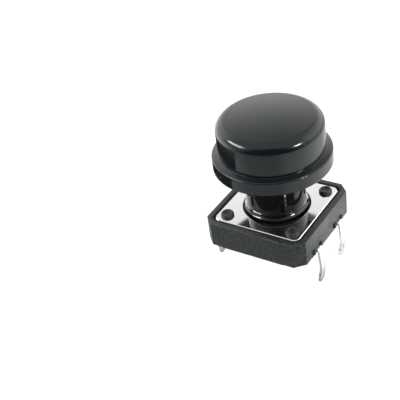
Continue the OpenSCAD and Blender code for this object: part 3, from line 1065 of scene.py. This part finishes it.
class SWITCH_OT_cap(bpy.types.Operator):
    """Builds the hollow round cap with its lip and the boss that grips the tenon"""
    bl_idname = "switch_part.cap"
    bl_label = "Button cap"

    def execute(self, context):
        scene = context.scene
        size, mouth, peak = in_mm(scene.switch_button), CAP_LOW.z, CAP_HIGH.z
        body, lip, boss, ceiling, shoulder = size.cap, size.lip, size.boss, size.ceiling, size.shoulder
        edge, crown = size.top_edge, size.crown
        flat_r, edge_z = body - edge, peak - crown - edge
        crown_r = (flat_r ** 2 + crown ** 2) / (2 * crown)
        profile = [(0.0, peak)]
        for i in range(1, CROWN_STEPS + 1):
            r = flat_r * i / CROWN_STEPS
            profile.append((r, peak - crown_r + math.sqrt(crown_r ** 2 - r ** 2)))
        lean = math.asin(flat_r / crown_r)
        for i in range(1, 2 * FINE_ARC + 1):
            turn = (math.pi / 2 - lean / 2) * (1 - i / (2 * FINE_ARC))
            profile.append((flat_r + edge * math.cos(turn), edge_z + edge * math.sin(turn)))
        lip_top, inside, half_fall = mouth + size.lip_height, body - size.wall, size.lip_fall / 2
        profile += rounded([
            (body, edge_z - 0.06), (body, lip_top + half_fall, 0.04),
            (lip, lip_top - half_fall, size.lip_edge, FINE_ARC), (lip, mouth, 0.1, 4), (inside, mouth, 0.08),
            (inside, ceiling, 0.25), (boss, ceiling, 0.12), (boss, shoulder, 0.05), (boss - 0.12, shoulder)])
        socket = to_round_square(size.tenon, 0.12)
        piece = to_object("round_button_cap", loft(turned(profile) + [(socket, shoulder), (socket, ceiling)]))
        finish_piece(piece, cap_plastic(scene), "button", "cap_plastic", "button_cap", held_flat=False)
        return {"FINISHED"}


class SWITCH_OT_stage(bpy.types.Operator):
    """Sets the pale floor, the soft lamps, the surroundings and the camera"""
    bl_idname = "switch_part.stage"
    bl_label = "Studio stage"

    def execute(self, context):
        scene, setting = context.scene, context.scene.switch_stage
        self.lay_floor(setting)
        self.light_room(scene, setting)
        self.hang_lamps(setting)
        self.place_camera(scene, setting)
        scene.view_settings.view_transform = "Standard"
        return {"FINISHED"}

    @staticmethod
    def lay_floor(setting):
        """A wide pale floor at the pin tips, which keeps a soft shadow, and on which gloss sees painted
        shade, painted shadows and a painted pool of light.
        """
        mesh = bmesh.new()
        reach, foot = setting.floor, OUTER_LOW.z * MM
        corners = ((-reach, -reach), (reach, -reach), (reach, reach), (-reach, reach))
        mesh.faces.new([mesh.verts.new((x, y, foot)) for x, y in corners])
        floor = to_object("pale_floor", mesh)
        material, point = new_material("pale_floor_paper")
        tree = point.tree
        away = add_node(tree, "ShaderNodeVectorMath", {0: point}, out="Value", operation="LENGTH")

        def bearing(degrees):
            return along(point, setting.dark_side + math.radians(degrees)) / away

        # Gloss sees a pale floor with painted shade towards the dark side, and painted shadows and a painted
        # pool of light on it.
        front, right = bearing(0), bearing(90)
        near = between(front, 0.0, 0.85, 1.2, 0.7) + between(bearing(69), 0.55, 0.85) * 0.45
        far = between(front, -0.2, 0.8, 2.0, 0.02) * between(right, 0.0, 0.5, 1.0, 0.5)
        painted_floor_light = mixed(between_mm(away, 30.0, 38.0), near, far)
        # The painted shadows and the painted pool of light, laid on in turn.
        for degrees, span, start, end, level in PAINTED_FLOOR_SHADOWS_AND_POOLS:
            patch = between(bearing(degrees), *span) * between_mm(away, *start)
            painted_floor_light = mixed(patch * between_mm(away, *end, 1.0, 0.0), painted_floor_light, grey(level))
        # A painted contact shadow beneath the switch, lighter towards the right.
        painted_contact_shadow = between_mm(away, 9.2, 10.8, 0.9, 0.0)
        painted_floor_light = mixed(painted_contact_shadow, painted_floor_light, between(right, 0.5, 0.8, 0.42, 0.9))
        paper = add_node(tree, "ShaderNodeBsdfDiffuse", {
            "Color": mixed(noise(point, 0.8, detail=3.0), grey(0.80), grey(0.84))})
        seen = add_node(tree, "ShaderNodeAddShader", {
            0: add_node(tree, "ShaderNodeEmission", {"Color": grey(0.86), "Strength": 1.0}),
            1: add_node(tree, "ShaderNodeBsdfDiffuse", {"Color": grey(0.30)})})
        glow = add_node(tree, "ShaderNodeEmission", {"Color": painted_floor_light, "Strength": 1.0})
        lit = add_node(tree, "ShaderNodeMixShader", {0: light_path(tree, "Is Glossy Ray"), 1: paper, 2: glow})
        end_shader(add_node(tree, "ShaderNodeMixShader", {
            0: light_path(tree, "Is Camera Ray"), 1: lit, 2: seen}))
        floor.data.materials.append(material)

    @staticmethod
    def light_room(scene, setting):
        """White to the camera; for light and reflections pale behind the switch and dark in front."""
        world = bpy.data.worlds.get("studio") or bpy.data.worlds.new("studio")
        world.use_nodes = True
        world.node_tree.nodes.clear()
        scene.world = world
        point = add_node(world.node_tree, "ShaderNodeTexCoord", out="Generated")
        up = parts(point)[2]  # sine of the elevation
        flat = (1.0 - up * up).root() + 1e-4  # its cosine, kept above zero

        def bearing(degrees):
            return along(point, setting.dark_side + math.radians(degrees)) / flat

        dark = between(along(point, setting.dark_side, setting.dark_height), 0.515, 0.84)
        walls = between(bearing(171), -0.17, 0.17) * between(up, 0.42, 0.95, 1.0, 0.0)
        # A dim doorway stands in the middle of the walls, and its head runs on overhead.
        doorway = between(bearing(178), 0.79, 0.95) * between(up, 0.25, 0.75, 0.0, 0.55)
        doorway = doorway * (between(up, 0.75, 0.86, 1.0, 0.0) + between(up, 0.88, 0.99, 0.0, 0.65))
        radiance = (setting.sky * (1.0 - dark) + walls * setting.back) * (1.0 - doorway)
        tint = mixed(light_path(point.tree, "Is Camera Ray"), radiance, grey(1.0))
        shown = add_node(point.tree, "ShaderNodeBackground", {"Color": tint, "Strength": 1.0})
        end_shader(shown, "ShaderNodeOutputWorld")

    @staticmethod
    def hang_lamps(setting):
        """A long soft lamp high at the left and a small one at the right."""
        for (name, azimuth, elevation, width, height), radiance in zip(
                LAMPS, (setting.left_lamp, setting.right_lamp)):
            lamp = bpy.data.lights.get(name) or bpy.data.lights.new(name, "AREA")
            lamp.shape, lamp.size, lamp.size_y = "RECTANGLE", width, height
            lamp.energy = radiance * math.pi * width * height
            obj = place_object(name, lamp)
            toward = heading(math.radians(azimuth), math.radians(elevation))
            obj.matrix_world = facing(toward * LAMP_DISTANCE + Vector((0.0, 0.0, LAMP_AIM)), toward)
            obj.visible_camera = False

    @staticmethod
    def place_camera(scene, setting):
        """The camera at its fitted place, with no shift."""
        name = "view_camera"
        data = bpy.data.cameras.get(name) or bpy.data.cameras.new(name)
        data.sensor_width, data.lens, data.clip_start, data.clip_end = 36.0, setting.lens, 0.005, 10.0
        scene.camera = place_object(name, data)
        back = heading(setting.azimuth, setting.elevation)
        level_view = facing(Vector(setting.aim) + back * setting.distance, back)
        scene.camera.matrix_world = level_view @ Matrix.Rotation(setting.roll, 4, "Z")


def heading(azimuth, elevation):
    """Unit vector from the object towards a place at this azimuth and elevation."""
    return Vector((math.sin(azimuth) * math.cos(elevation), -math.cos(azimuth) * math.cos(elevation),
                   math.sin(elevation)))


def facing(place, back):
    """Matrix at a place whose +Z points along back and whose +X is level."""
    level = Vector((0.0, 0.0, 1.0)).cross(back).normalized()
    turn = Matrix((level, back.cross(level), back)).transposed().to_4x4()
    return Matrix.Translation(place) @ turn


# --- registration


PIECE_OPERATORS = [SWITCH_OT_base, SWITCH_OT_pegs, SWITCH_OT_ribs, SWITCH_OT_plate, SWITCH_OT_terminals,
                   SWITCH_OT_dome, SWITCH_OT_plunger, SWITCH_OT_cap, SWITCH_OT_stage]
SIZE_GROUPS = {"switch_base": BaseSizes, "switch_pegs": PegSizes, "switch_ribs": RibSizes,
               "switch_plate": PlateSizes, "switch_pins": PinSizes, "switch_dome": DomeSizes,
               "switch_button": ButtonSizes, "switch_finish": FinishColours, "switch_stage": StageSettings}


class SWITCH_PT_panel(bpy.types.Panel):
    """Lists the pieces of the switch and the stage"""
    bl_label = "Tactile Switch"
    bl_idname = "SWITCH_PT_panel"
    bl_space_type = "VIEW_3D"
    bl_region_type = "UI"
    bl_category = "Switch"

    def draw(self, context):
        column = self.layout.column(align=True)
        for operator in PIECE_OPERATORS:
            column.operator(operator.bl_idname)


CLASSES = (*SIZE_GROUPS.values(), *PIECE_OPERATORS, SWITCH_PT_panel)


def register():
    """Registers the classes and hangs the property groups on the scene."""
    for cls in CLASSES:
        bpy.utils.register_class(cls)
    for name, group in SIZE_GROUPS.items():
        setattr(bpy.types.Scene, name, bpy.props.PointerProperty(type=group))


def unregister():
    """Takes the property groups and the classes away."""
    for name in SIZE_GROUPS:
        delattr(bpy.types.Scene, name)
    for cls in reversed(CLASSES):
        bpy.utils.unregister_class(cls)


def main():
    """Registers the add-on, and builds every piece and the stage."""
    register()
    for operator in PIECE_OPERATORS:
        group, name = operator.bl_idname.split(".")
        getattr(getattr(bpy.ops, group), name)()


if __name__ == "__main__":
    main()
